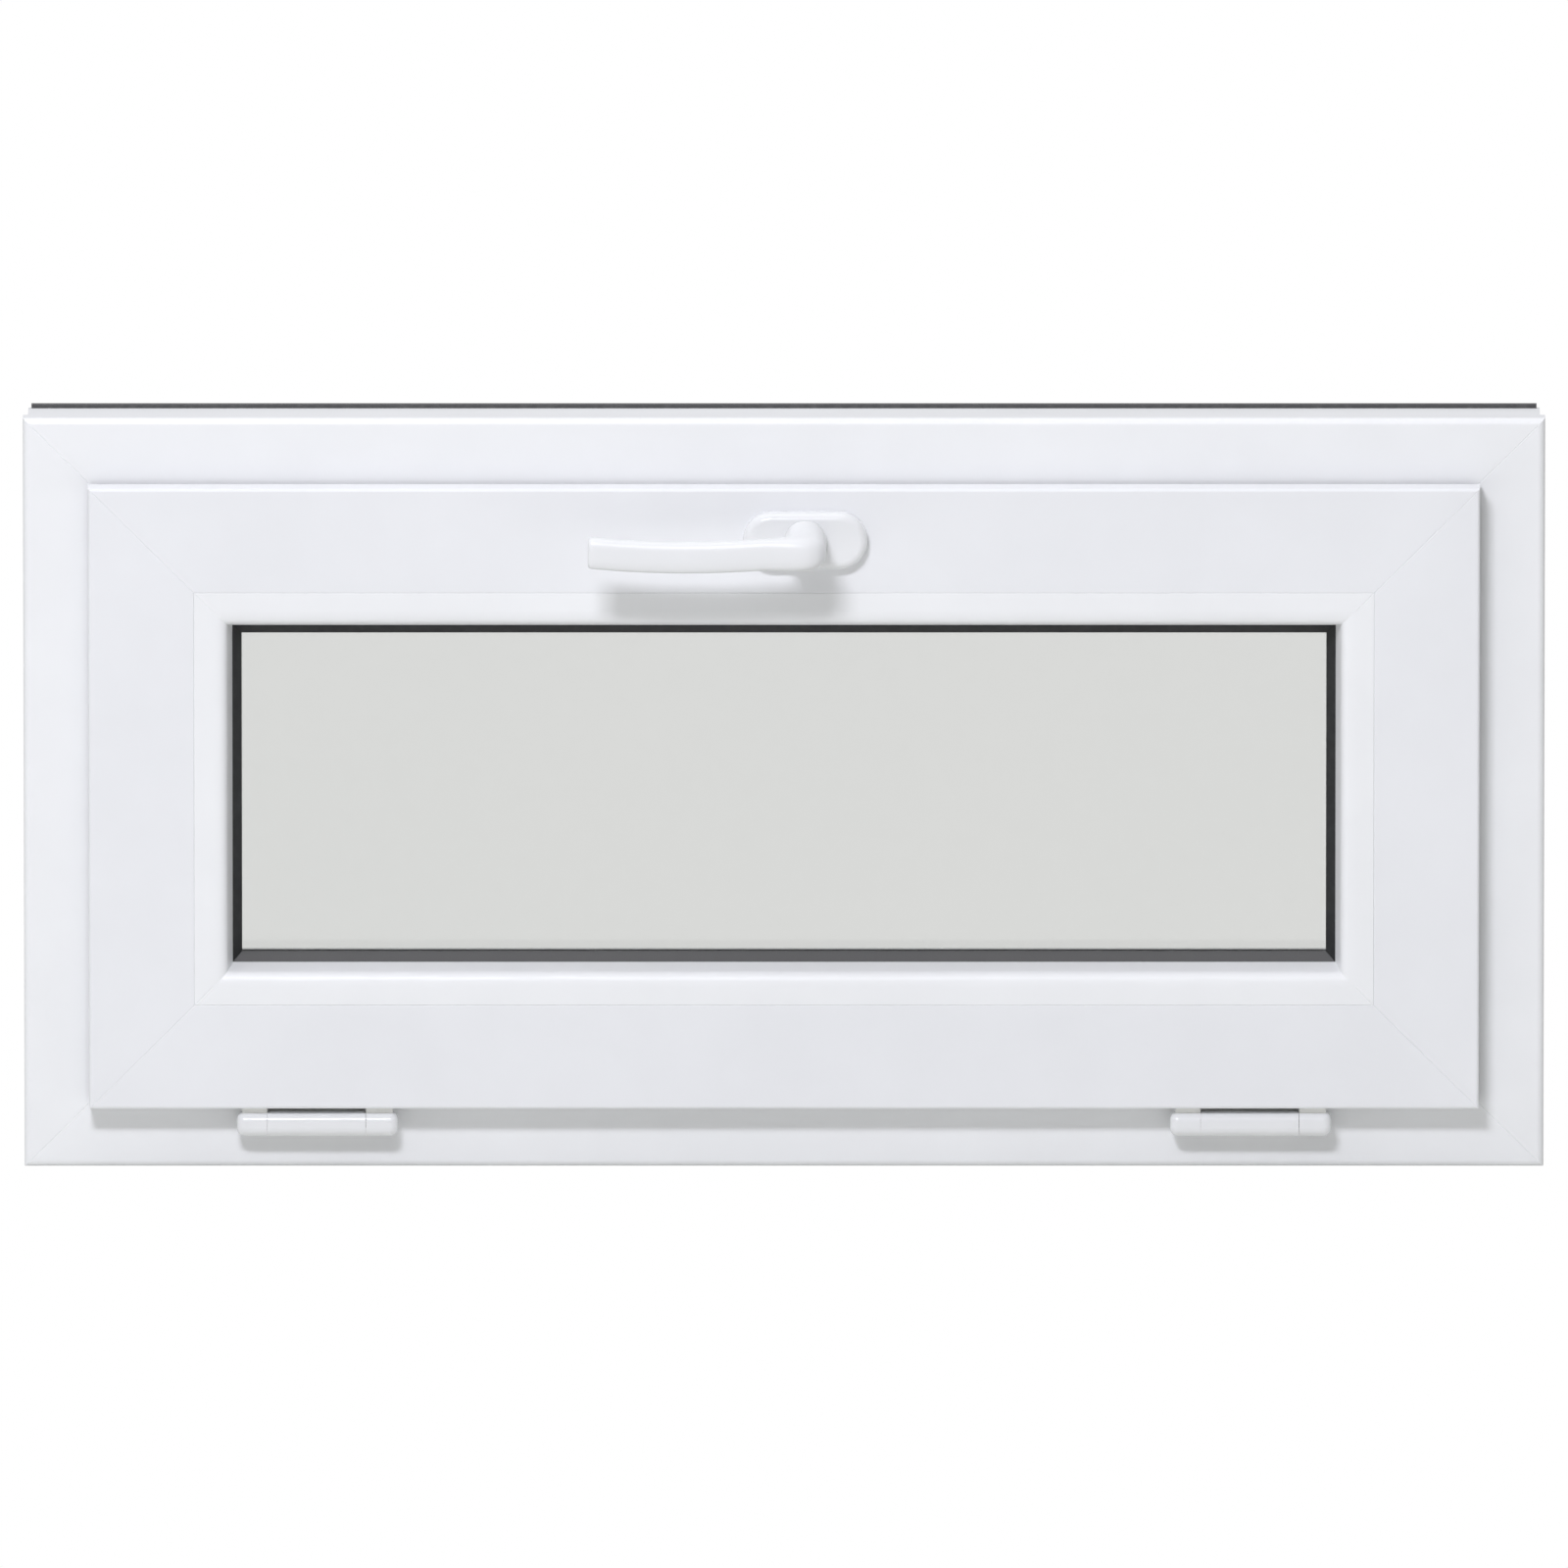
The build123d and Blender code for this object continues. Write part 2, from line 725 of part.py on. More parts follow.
pin_half = hinge_length / 2 - ear_inset
with BuildPart() as hinge_pins:
    for centre in hinge_centres:
        with BuildSketch(hinge_plane(centre - pin_half)):
            Circle(pin_radius)
        extrude(amount=2 * pin_half)
    chamfer(hinge_pins.edges().filter_by(GeomType.CIRCLE), 0.5)
hinge_pins.part.label = "hinge_pins"
export_step(hinge_pins.part, "parts/hinge_pins.step")


def hinge_cover(centre, low, high, slot, closed_end=None):
    """A rounded cover over a stretch of the barrel, slotted where the leaf comes out."""
    with BuildPart() as cover:
        with BuildSketch(hinge_plane(centre + low)):
            RectangleRounded(hinge_cover_size, hinge_cover_size, hinge_cover_radius)
        extrude(amount=high - low)
        if closed_end is not None:
            fillet(cover.faces().sort_by(Axis.X)[closed_end].edges(), cover_end_radius)
        bore_low, bore_high = low, high
        if closed_end == 0:
            bore_low += ear_inset
        if closed_end == -1:
            bore_high -= ear_inset
        with BuildSketch(hinge_plane(centre + bore_low)):
            Circle(cover_bore)
            flat(*slot)
        extrude(amount=bore_high - bore_low, mode=Mode.SUBTRACT)
    return cover


slot_play = 0.15
slot_half = ear_half + slot_play
rear_slot = (0, -slot_half, hinge_cover_size, slot_half)
upper_slot = (-slot_half, 0, slot_half, hinge_cover_size)
with BuildPart() as hinge_frame_covers:
    for centre in hinge_centres:
        add(hinge_cover(centre, *knuckle_span, rear_slot).part)
hinge_frame_covers.part.label = "hinge_frame_covers"
export_step(hinge_frame_covers.part, "parts/hinge_frame_covers.step")

with BuildPart() as hinge_sash_covers:
    for centre in hinge_centres:
        add(hinge_cover(centre, *ear_left, upper_slot, 0).part)
        add(hinge_cover(centre, *ear_right, upper_slot, -1).part)
hinge_sash_covers.part.label = "hinge_sash_covers"
export_step(hinge_sash_covers.part, "parts/hinge_sash_covers.step")

# ---- lock: gearbox, rack and pinion, drive rod, cams and keeps ----
rod_width = 12.0
faceplate_thickness = 2.5
faceplate_low = sash_top - faceplate_thickness
rod_high = faceplate_low - 0.4
rack_pitch_z = handle_z + pitch_radius
rack_root_z = rack_pitch_z + 1.25 * gear_module
rack_tip_z = rack_pitch_z - 0.8 * gear_module
tooth_pitch = math.pi * gear_module
rack_tooth_range = (-4, 9)
backlash = 0.12
rod_half = cam_x + 15.0
rod_y = (groove_y - rod_width / 2, groove_y + rod_width / 2)


def rod_slot(x, width):
    """A slot that runs in the direction that the rod travels, with room to spare at each end."""
    with BuildSketch(Plane((x, groove_y, 0))) as slot:
        SlotOverall(rod_travel + width + 1.0, width)
    extrude(slot.sketch, amount=frame_height, mode=Mode.SUBTRACT)


cam_post_radius = 3.5
cam_rivet_radius = 2.5
cam_rivet_low = rod_high - 2.45
cam_foot = sash_top + 0.5
cam_top = cam_foot + 7.0
with BuildPart() as locking_cams:
    for x in (-cam_x, cam_x):
        with BuildSketch(Plane((x, groove_y, 0), x_dir=(1, 0, 0), z_dir=(0, -1, 0))):
            with BuildLine():
                Polyline(
                    (0, cam_rivet_low),
                    (cam_rivet_radius, cam_rivet_low),
                    (cam_rivet_radius, rod_high),
                    (cam_post_radius, rod_high),
                    (cam_post_radius, cam_foot),
                    (cam_radius, cam_foot),
                    (cam_radius, cam_top - 1),
                    (cam_radius - 1, cam_top),
                    (0, cam_top),
                    close=True,
                )
            make_face()
        revolve(axis=Axis((x, groove_y, 0), (0, 0, 1)))
locking_cams.part.label = "locking_cams"
export_step(locking_cams.part, "parts/locking_cams.step")

pitch_half = tooth_pitch / 4 - backlash / 2
root_half = pitch_half + (rack_root_z - rack_pitch_z) * math.tan(pressure_angle)
tip_half = pitch_half - (rack_pitch_z - rack_tip_z) * math.tan(pressure_angle)
with BuildPart() as drive_rod:
    block((-rod_half, rod_y[0], rack_root_z), (rod_half, rod_y[1], rod_high))
    with BuildSketch(Plane((0, rod_y[0], 0), x_dir=(1, 0, 0), z_dir=(0, -1, 0))):
        for step in range(*rack_tooth_range):
            tooth_x = handle_x + (step + 0.5) * tooth_pitch
            with BuildLine():
                Polyline(
                    (tooth_x - root_half, rack_root_z),
                    (tooth_x - tip_half, rack_tip_z),
                    (tooth_x + tip_half, rack_tip_z),
                    (tooth_x + root_half, rack_root_z),
                    close=True,
                )
            make_face()
    extrude(amount=-rod_width)
    for x in plate_screw_x[1:3]:
        rod_slot(x + rod_travel / 2, 2 * plate_screw[1] + 0.6)
    add(locking_cams.part, mode=Mode.SUBTRACT)
drive_rod.part.label = "drive_rod"
export_step(drive_rod.part, "parts/drive_rod.step")


# One pinion tooth, pointing along the sketch's +Y, its flanks thinned by half the backlash.
base_radius = pitch_radius * math.cos(pressure_angle)
gear_tip_radius = pitch_radius + gear_module
gear_root_radius = pitch_radius - 1.05 * gear_module
pitch_half_angle = math.pi / (2 * gear_teeth) - backlash / (2 * pitch_radius)
flank_steps = 6
flank = []
for index in range(flank_steps + 1):
    radius = base_radius + (gear_tip_radius - base_radius) * index / flank_steps
    roll = math.acos(min(1.0, base_radius / radius))
    involute = math.tan(roll) - roll
    half_angle = pitch_half_angle + math.tan(pressure_angle) - pressure_angle - involute
    flank.append((radius * math.sin(half_angle), radius * math.cos(half_angle)))
foot_y = gear_root_radius - gear_module / 2
with BuildSketch() as gear_tooth:
    with BuildLine():
        Polyline(
            (flank[0][0], foot_y),
            *flank,
            *[(-x, y) for x, y in reversed(flank)],
            (-flank[0][0], foot_y),
            close=True,
        )
    make_face()

case_wall = 2.7
case_y = (groove_y - groove_width / 2, groove_y + groove_width / 2)
hub_radius = 6.0
square_play = 0.05
handle_plane = Plane((handle_x, groove_y, handle_z), x_dir=(1, 0, 0), z_dir=(0, -1, 0))
with BuildPart() as gear_pinion:
    with BuildSketch(handle_plane.offset(-rod_width / 2)):
        Circle(gear_root_radius)
        with PolarLocations(0, gear_teeth):
            add(gear_tooth.sketch)
    extrude(amount=rod_width)
    with BuildSketch(handle_plane.offset(0.1 - groove_width / 2)):
        Circle(hub_radius)
    extrude(amount=groove_width - 0.2)
    with BuildSketch(handle_plane.offset(-groove_width)):
        Rectangle(spindle_size + 2 * square_play, spindle_size + 2 * square_play)
    extrude(amount=2 * groove_width, mode=Mode.SUBTRACT)
gear_pinion.part.label = "gear_pinion"
export_step(gear_pinion.part, "parts/gear_pinion.step")

# The case is an open-topped box under the faceplate. Its side walls carry the pinion's hub,
# and a solid boss at each end takes a handle screw.
case_bottom = 2.5
boss_width = 10.0
cavity_half = handle_screw_spacing / 2 - boss_width / 2
with BuildPart() as gearbox_case:
    block(
        (handle_x - case_half, case_y[0], case_low),
        (handle_x + case_half, case_y[1], faceplate_low),
    )
    block(
        (handle_x - cavity_half, case_y[0] + case_wall, case_low + case_bottom),
        (handle_x + cavity_half, case_y[1] - case_wall, faceplate_low),
        Mode.SUBTRACT,
    )
    block(
        (handle_x - case_half, case_y[0] + case_wall, rack_tip_z - 1.0),
        (handle_x + case_half, case_y[1] - case_wall, faceplate_low),
        Mode.SUBTRACT,
    )
    with BuildSketch(handle_plane.offset(-groove_width)):
        Circle(hub_radius + running_gap)
    extrude(amount=2 * groove_width, mode=Mode.SUBTRACT)
    add(handle_screws.part, mode=Mode.SUBTRACT)
gearbox_case.part.label = "gearbox_case"
export_step(gearbox_case.part, "parts/gearbox_case.step")

plate_half = plate_screw_x[-1] + 10.0
with BuildPart() as lock_faceplate:
    with BuildSketch(Plane((0, groove_y, faceplate_low))):
        RectangleRounded(2 * plate_half, groove_width - 0.2, 4)
    extrude(amount=faceplate_thickness)
    for x in (-cam_x, cam_x):
        rod_slot(x - rod_travel / 2, 2 * cam_post_radius + 1.0)
    add(faceplate_screws.part, mode=Mode.SUBTRACT)
lock_faceplate.part.label = "lock_faceplate"
export_step(lock_faceplate.part, "parts/lock_faceplate.step")

# Each keep is an angle on the frame's top rebate, its rear wall just behind the cam.
keep_half = 20.0
keep_back = groove_y + cam_radius + 0.4
keep_wall = 4.0
with BuildPart() as lock_keeps:
    for centre in keep_centres:
        block(
            (centre - keep_half, groove_y - 12, keep_low),
            (centre + keep_half, keep_back + keep_wall, rebate_top),
        )
        block(
            (centre - keep_half, keep_back, sash_top + 2.5),
            (centre + keep_half, keep_back + keep_wall, keep_low),
        )
    fillet(lock_keeps.edges().filter_by(Axis.Z).group_by(Axis.Y)[0], 3.0)
    add(keep_screws.part, mode=Mode.SUBTRACT)
lock_keeps.part.label = "lock_keeps"
export_step(lock_keeps.part, "parts/lock_keeps.step")

# ---- stays ----
stay_width = 10.0
arm_thickness = 2.5
arm_inset = frame_face + stay_plate + 0.9
pivot_radius = 4.0
pivot_head = 1.4
slide_pin_radius = 3.0
slot_play_radius = slide_pin_radius + 0.3
bracket_length = 48.0
bracket_width = 14.0
track_width = 11.0

with BuildPart() as stay_frame_brackets:
    for side in stay_sides:
        with BuildSketch(stay_plane(side, stay_length, 0, frame_face)):
            SlotOverall(bracket_length, bracket_width)
        extrude(amount=stay_plate)
    add(stay_bracket_screws.part, mode=Mode.SUBTRACT)
stay_frame_brackets.part.label = "stay_frame_brackets"
export_step(stay_frame_brackets.part, "parts/stay_frame_brackets.step")

with BuildPart() as stay_pivot_pins:
    for side in stay_sides:
        with BuildSketch(stay_plane(side, stay_length, 0, frame_face + stay_plate)):
            Circle(pivot_radius)
        extrude(amount=arm_thickness + 1.3)
        with BuildSketch(stay_plane(side, stay_length, 0, arm_inset + arm_thickness + 0.4)):
            Circle(pivot_radius + 2.0)
        extrude(amount=pivot_head)
stay_pivot_pins.part.label = "stay_pivot_pins"
export_step(stay_pivot_pins.part, "parts/stay_pivot_pins.step")

for side in stay_sides:
    with BuildPart() as stay_arm:
        with BuildSketch(stay_plane(side, 1.5 * stay_length, 0, arm_inset)):
            SlotCenterToCenter(stay_length, stay_width)
            with Locations((-stay_length / 2, 0)):
                Circle(pivot_radius + 2.5)
                Circle(pivot_radius + running_gap, mode=Mode.SUBTRACT)
            with Locations((stay_length / 2, 0)):
                Circle(slide_pin_radius, mode=Mode.SUBTRACT)
        extrude(amount=arm_thickness)
    stay_arm.part.label = f"stay_arm_{side}"
    export_step(stay_arm.part, f"parts/stay_arm_{side}.step")

    with BuildPart() as stay_slide_pin:
        with BuildSketch(stay_plane(side, 2 * stay_length, 0, arm_inset)):
            Circle(slide_pin_radius)
        extrude(amount=sash_body - 1.2 - arm_inset)
    stay_slide_pin.part.label = f"stay_slide_pin_{side}"
    export_step(stay_slide_pin.part, f"parts/stay_slide_pin_{side}.step")

with BuildPart() as stay_tracks:
    for side in stay_sides:
        face = stay_plane(side, track_middle, 0, sash_body - track_thickness)
        with BuildSketch(face):
            SlotOverall(track_length, track_width)
        extrude(amount=track_thickness)
        with BuildSketch(face):
            SlotCenterToCenter(stay_travel + 3.0, 2 * slot_play_radius)
        extrude(amount=track_thickness - 0.8, mode=Mode.SUBTRACT)
    add(track_screws.part, mode=Mode.SUBTRACT)
stay_tracks.part.label = "stay_tracks"
export_step(stay_tracks.part, "parts/stay_tracks.step")

# ---- handle ----
rose_wall = 2.0
rose_edge_radius = 5.5
rose_plane = Plane((handle_x, sash_face_y, handle_z), x_dir=(1, 0, 0), z_dir=(0, -1, 0))
rose_inner_length = rose_length - 2 * rose_wall
rose_inner_height = rose_height - 2 * rose_wall
with BuildPart() as rose_base:
    with BuildSketch(rose_plane):
        SlotOverall(rose_inner_length - 0.6, rose_inner_height - 0.6)
        Circle(spindle_size, mode=Mode.SUBTRACT)
    extrude(amount=sash_face_y - rose_base_front)
    add(handle_screws.part, mode=Mode.SUBTRACT)
rose_base.part.label = "rose_base"
export_step(rose_base.part, "parts/rose_base.step")

with BuildPart() as rose_cover:
    with BuildSketch(rose_plane):
        SlotOverall(rose_length, rose_height)
    extrude(amount=rose_thickness)
    fillet(rose_cover.faces().sort_by(Axis.Y)[0].edges(), rose_edge_radius)
    with BuildSketch(rose_plane):
        SlotOverall(rose_inner_length, rose_inner_height)
    extrude(amount=sash_face_y - rose_base_front, mode=Mode.SUBTRACT)
    with BuildSketch(rose_plane):
        SlotOverall(rose_length - 12, rose_height - 12)
    extrude(amount=rose_thickness - rose_wall, mode=Mode.SUBTRACT)
    with BuildSketch(rose_plane):
        Circle(collar_radius + 0.3)
    extrude(amount=rose_thickness, mode=Mode.SUBTRACT)
rose_cover.part.label = "rose_cover"
export_step(rose_cover.part, "parts/rose_cover.step")

# The lever leaves the rose as a round collar, thickens into a neck, bends to the left and ends
# in a slim grip that sags a little between neck and tip.
grip_stand = 58.0
grip_y = sash_face_y - grip_stand
grip_tip_x = -128.7
grip_drop = -1.0
grip_sag = 2.4
neck_size = (28.5, 31.0, 13.8)
elbow_size = (15.0, 21.0, 6.5)
grip_size = (12.0, 21.0, 5.0)
bend_radius = 17.0
bend_steps = 8
grip_steps = 8


def between(start, end, share):
    """Values part of the way from one set to another."""
    return tuple(a + (b - a) * share for a, b in zip(start, end))


lever_foot_y = sash_face_y - rose_thickness - 1.5
lever_sections = [((handle_x, lever_foot_y, handle_z), (0, -1, 0), neck_size)]
for step in range(bend_steps + 1):
    share = step / bend_steps
    turn = share * math.pi / 2
    point = (
        handle_x - bend_radius * (1 - math.cos(turn)),
        grip_y + bend_radius * (1 - math.sin(turn)),
        handle_z - grip_drop * share,
    )
    run = (-math.sin(turn), -math.cos(turn), 0)
    lever_sections.append((point, run, between(neck_size, elbow_size, share)))
for step in range(1, grip_steps + 1):
    share = step / grip_steps
    point = (
        handle_x - bend_radius + (grip_tip_x - handle_x + bend_radius) * share,
        grip_y,
        handle_z - grip_drop - 4 * grip_sag * share * (1 - share),
    )
    size = between(elbow_size, grip_size, min(1, 2 * share))
    lever_sections.append((point, (-1, 0, 0), size))

with BuildPart() as handle_lever:
    for centre, run, size in lever_sections:
        across = Vector(0, 0, 1).cross(Vector(run))
        with BuildSketch(Plane(centre, x_dir=across, z_dir=run)):
            RectangleRounded(*size)
    loft(ruled=True)
    with BuildSketch(rose_plane.offset(sash_face_y - rose_base_front + 1.5)):
        Circle(collar_radius)
    extrude(amount=rose_thickness)
    socket_end = rose_thickness + 21.0
    with BuildSketch(rose_plane):
        Rectangle(spindle_size + 2 * square_play, spindle_size + 2 * square_play)
    extrude(amount=socket_end, mode=Mode.SUBTRACT)
handle_lever.part.label = "handle_lever"
export_step(handle_lever.part, "parts/handle_lever.step")

spindle_back = groove_y + groove_width / 2 - 1.0
with BuildPart() as handle_spindle:
    with BuildSketch(Plane((handle_x, spindle_back, handle_z), x_dir=(1, 0, 0), z_dir=(0, -1, 0))):
        Rectangle(spindle_size, spindle_size)
    extrude(amount=spindle_back - sash_face_y + socket_end - 0.5)
    chamfer(handle_spindle.faces().filter_by(Axis.Y).edges(), 0.6)
handle_spindle.part.label = "handle_spindle"
export_step(handle_spindle.part, "parts/handle_spindle.step")
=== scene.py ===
"""Looks of a white bottom-hung casement window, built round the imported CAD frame.

Metres, in the frame shared with the CAD: X right as seen from the room, -Y into the room, Z up.
"""
import json
import math

import bpy
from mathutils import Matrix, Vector


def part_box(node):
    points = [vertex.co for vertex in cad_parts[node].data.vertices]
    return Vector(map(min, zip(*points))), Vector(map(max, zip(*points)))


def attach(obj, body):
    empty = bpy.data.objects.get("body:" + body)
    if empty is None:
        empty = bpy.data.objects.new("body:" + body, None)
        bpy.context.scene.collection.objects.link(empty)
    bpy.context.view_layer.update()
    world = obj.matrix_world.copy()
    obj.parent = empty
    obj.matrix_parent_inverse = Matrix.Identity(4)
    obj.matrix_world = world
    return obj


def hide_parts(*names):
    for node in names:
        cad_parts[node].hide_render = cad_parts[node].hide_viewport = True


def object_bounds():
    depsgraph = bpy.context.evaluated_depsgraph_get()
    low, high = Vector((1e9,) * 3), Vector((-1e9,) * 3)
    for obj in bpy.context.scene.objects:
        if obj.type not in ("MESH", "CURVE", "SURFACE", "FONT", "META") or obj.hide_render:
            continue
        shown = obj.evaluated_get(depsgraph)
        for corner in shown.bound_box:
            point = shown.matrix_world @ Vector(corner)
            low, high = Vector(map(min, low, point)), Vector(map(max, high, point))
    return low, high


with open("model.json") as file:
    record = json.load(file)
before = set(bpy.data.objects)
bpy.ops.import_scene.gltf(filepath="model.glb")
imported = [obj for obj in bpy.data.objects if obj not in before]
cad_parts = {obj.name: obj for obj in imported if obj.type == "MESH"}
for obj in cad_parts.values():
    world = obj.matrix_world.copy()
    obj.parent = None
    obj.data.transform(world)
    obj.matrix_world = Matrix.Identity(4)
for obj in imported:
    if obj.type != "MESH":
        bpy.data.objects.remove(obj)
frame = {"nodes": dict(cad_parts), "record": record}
cad_low, cad_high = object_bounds()
nodes = frame["nodes"]
MM = 0.001


# ---------------------------------------------------------------- colours and shader nodes
def srgb(red, green, blue, alpha=1.0):
    """A linear colour from 0-255 screen values."""
    linear = []
    for value in (red, green, blue):
        share = value / 255
        linear.append(share / 12.92 if share <= 0.04045 else ((share + 0.055) / 1.055) ** 2.4)
    return (*linear, alpha)


def scaled(colour, factor):
    """A colour made lighter or darker."""
    return (*(min(1.0, channel * factor) for channel in colour[:3]), 1.0)


def feed(tree, socket, value):
    """Link an output to the socket, or set the socket to a plain value."""
    if isinstance(value, bpy.types.NodeSocket):
        tree.links.new(value, socket)
    else:
        socket.default_value = value


class Shader:
    """A material with one Principled shader, and short calls for the nodes that feed it."""

    def __init__(self, name, **values):
        self.material = bpy.data.materials.new(name)
        self.material.use_nodes = True
        self.tree = self.material.node_tree
        self.shader = self.tree.nodes["Principled BSDF"]
        self.place = self.add("ShaderNodeTexCoord").outputs["Object"]
        for socket, value in values.items():
            self.shader.inputs[socket.replace("_", " ")].default_value = value

    def add(self, kind, **settings):
        node = self.tree.nodes.new(kind)
        for key, value in settings.items():
            setattr(node, key, value)
        return node

    def link(self, output, target):
        self.tree.links.new(output, target)

    def stretched(self, scale):
        """Object coordinates scaled apart along X, Y and Z."""
        mapping = self.add("ShaderNodeMapping")
        mapping.inputs["Scale"].default_value = scale
        self.link(self.place, mapping.inputs["Vector"])
        return mapping.outputs["Vector"]

    def noise(self, scale, detail=3.0, roughness=0.55, vector=None):
        node = self.add("ShaderNodeTexNoise")
        node.inputs["Scale"].default_value = scale
        node.inputs["Detail"].default_value = detail
        node.inputs["Roughness"].default_value = roughness
        self.link(vector or self.place, node.inputs["Vector"])
        return node.outputs["Fac"]

    def remap(self, value, low, high, start=0.3, end=0.7):
        node = self.add("ShaderNodeMapRange")
        for key, number in zip(("From Min", "From Max", "To Min", "To Max"), (start, end, low, high)):
            node.inputs[key].default_value = number
        self.link(value, node.inputs["Value"])
        return node.outputs["Result"]

    def colours(self, value, first, second):
        """A mix from the first colour to the second; each is a plain colour or an output."""
        node = self.add("ShaderNodeMix", data_type="RGBA")
        sockets = {socket.identifier: socket for socket in node.inputs}
        feed(self.tree, sockets["A_Color"], first)
        feed(self.tree, sockets["B_Color"], second)
        self.link(value, sockets["Factor_Float"])
        return next(socket for socket in node.outputs if socket.identifier == "Result_Color")

    def bump(self, value, strength, distance, normal=None):
        node = self.add("ShaderNodeBump")
        node.inputs["Strength"].default_value = strength
        node.inputs["Distance"].default_value = distance
        self.link(value, node.inputs["Height"])
        if normal:
            self.link(normal, node.inputs["Normal"])
        return node.outputs["Normal"]

    def paint(self, colour=None, roughness=None, normal=None):
        for socket, output in (("Base Color", colour), ("Roughness", roughness), ("Normal", normal)):
            if output:
                self.link(output, self.shader.inputs[socket])
        return self.material


# ---------------------------------------------------------------- materials
ALONG_X = (0.04, 1.0, 1.0)
ALONG_Z = (1.0, 1.0, 0.04)
EVENLY = (1.0, 1.0, 1.0)


def extruded_pvc(name, colour, direction):
    """Satin white PVC: faint die lines along the bar, fine orange peel, slight mottling."""
    shader = Shader(name, Specular_IOR_Level=0.45)
    mottle = shader.noise(14.0, 2.0)
    tone = shader.colours(shader.remap(mottle, 0.0, 1.0), scaled(colour, 0.985), scaled(colour, 1.012))
    lines = shader.noise(420.0, 2.0, vector=shader.stretched(direction))
    peel = shader.noise(900.0, 2.0)
    sheen = shader.remap(shader.noise(60.0, 3.0, vector=shader.stretched(direction)), 0.34, 0.42)
    fine = shader.bump(peel, 0.10, 0.05 * MM)
    return shader.paint(tone, sheen, shader.bump(lines, 0.14, 0.06 * MM, fine))


def moulded_plastic(name, colour, low_gloss, high_gloss):
    """Glossy moulded plastic with a soft skin texture."""
    shader = Shader(name, Specular_IOR_Level=0.5)
    tone = shader.colours(shader.remap(shader.noise(30.0, 2.0), 0.0, 1.0), scaled(colour, 0.985), colour)
    sheen = shader.remap(shader.noise(240.0, 3.0), low_gloss, high_gloss)
    return shader.paint(tone, sheen, shader.bump(shader.noise(1100.0, 2.0), 0.08, 0.04 * MM))


def powder_coat(name, colour):
    """White powder coat with a fine orange peel."""
    shader = Shader(name, Specular_IOR_Level=0.5)
    tone = shader.colours(shader.remap(shader.noise(24.0, 2.0), 0.0, 1.0), scaled(colour, 0.985), colour)
    sheen = shader.remap(shader.noise(320.0, 2.0), 0.28, 0.36)
    return shader.paint(tone, sheen, shader.bump(shader.noise(260.0, 2.0), 0.06, 0.06 * MM))


def rubber(name, colour, light, painted_top_light):
    """Extruded rubber with a fine grain, made lighter where it faces up: a painted highlight for the top
    light on the upward faces.
    """
    shader = Shader(name, Specular_IOR_Level=0.45)
    facing = shader.add("ShaderNodeSeparateXYZ")
    shader.link(shader.add("ShaderNodeTexCoord").outputs["Normal"], facing.inputs["Vector"])
    # Painted highlight: the colour turns towards the third colour where the surface faces up, as light
    # from above would make it.
    painted_top_light_mask = shader.remap(facing.outputs["Z"], 0.0, 1.0, 0.2, 0.8)
    patches = shader.remap(shader.noise(180.0, 4.0), 0.0, 1.0, 0.45, 0.75)
    tone = shader.colours(painted_top_light_mask, shader.colours(patches, colour, light), painted_top_light)
    sheen = shader.remap(shader.noise(90.0, 3.0), 0.38, 0.52)
    return shader.paint(tone, sheen, shader.bump(shader.noise(1500.0, 3.0), 0.25, 0.05 * MM))


def plated(name, colour, low_rough, high_rough, direction=EVENLY):
    """Plated or drawn metal: brushed along one direction, with slight tarnish."""
    shader = Shader(name, Metallic=1.0)
    tarnish = shader.remap(shader.noise(35.0, 4.0), 0.0, 1.0)
    tone = shader.colours(tarnish, scaled(colour, 0.82), colour)
    brushed = shader.noise(900.0, 2.0, vector=shader.stretched(direction))
    sheen = shader.remap(brushed, low_rough, high_rough)
    return shader.paint(tone, sheen, shader.bump(brushed, 0.15, 0.03 * MM))


def galvanised(name):
    """Hot-dip galvanised steel with its spangle."""
    shader = Shader(name, Metallic=1.0)
    cells = shader.add("ShaderNodeTexVoronoi")
    cells.inputs["Scale"].default_value = 160.0
    shader.link(shader.place, cells.inputs["Vector"])
    tone = shader.colours(cells.outputs["Distance"], srgb(170, 176, 180), srgb(205, 210, 213))
    sheen = shader.remap(cells.outputs["Distance"], 0.32, 0.5, 0.0, 0.6)
    return shader.paint(tone, sheen, shader.bump(cells.outputs["Distance"], 0.1, 0.03 * MM))


def cast_alloy(name):
    """Die-cast zinc alloy with a sandy skin."""
    shader = Shader(name, Metallic=1.0)
    tone = shader.colours(shader.noise(45.0, 4.0), srgb(150, 151, 153), srgb(188, 189, 191))
    sheen = shader.remap(shader.noise(400.0, 3.0), 0.4, 0.55)
    return shader.paint(tone, sheen, shader.bump(shader.noise(1200.0, 3.0), 0.3, 0.05 * MM))


def float_glass(name):
    """Clear float glass, faintly green, with the last trace of wiping marks in its gloss."""
    shader = Shader(name, Transmission_Weight=1.0, IOR=1.52)
    tone = shader.colours(shader.noise(3.0, 1.0), srgb(233, 234, 233), srgb(235, 235, 234))
    marks = shader.noise(30.0, 4.0, vector=shader.stretched((1.0, 1.0, 0.25)))
    return shader.paint(tone, shader.remap(marks, 0.0, 0.02, 0.5, 0.8))


WHITE_FRAME = srgb(241, 242, 243)
WHITE_SASH = srgb(236, 237, 239)
WHITE_GLOSS = srgb(235, 236, 237)

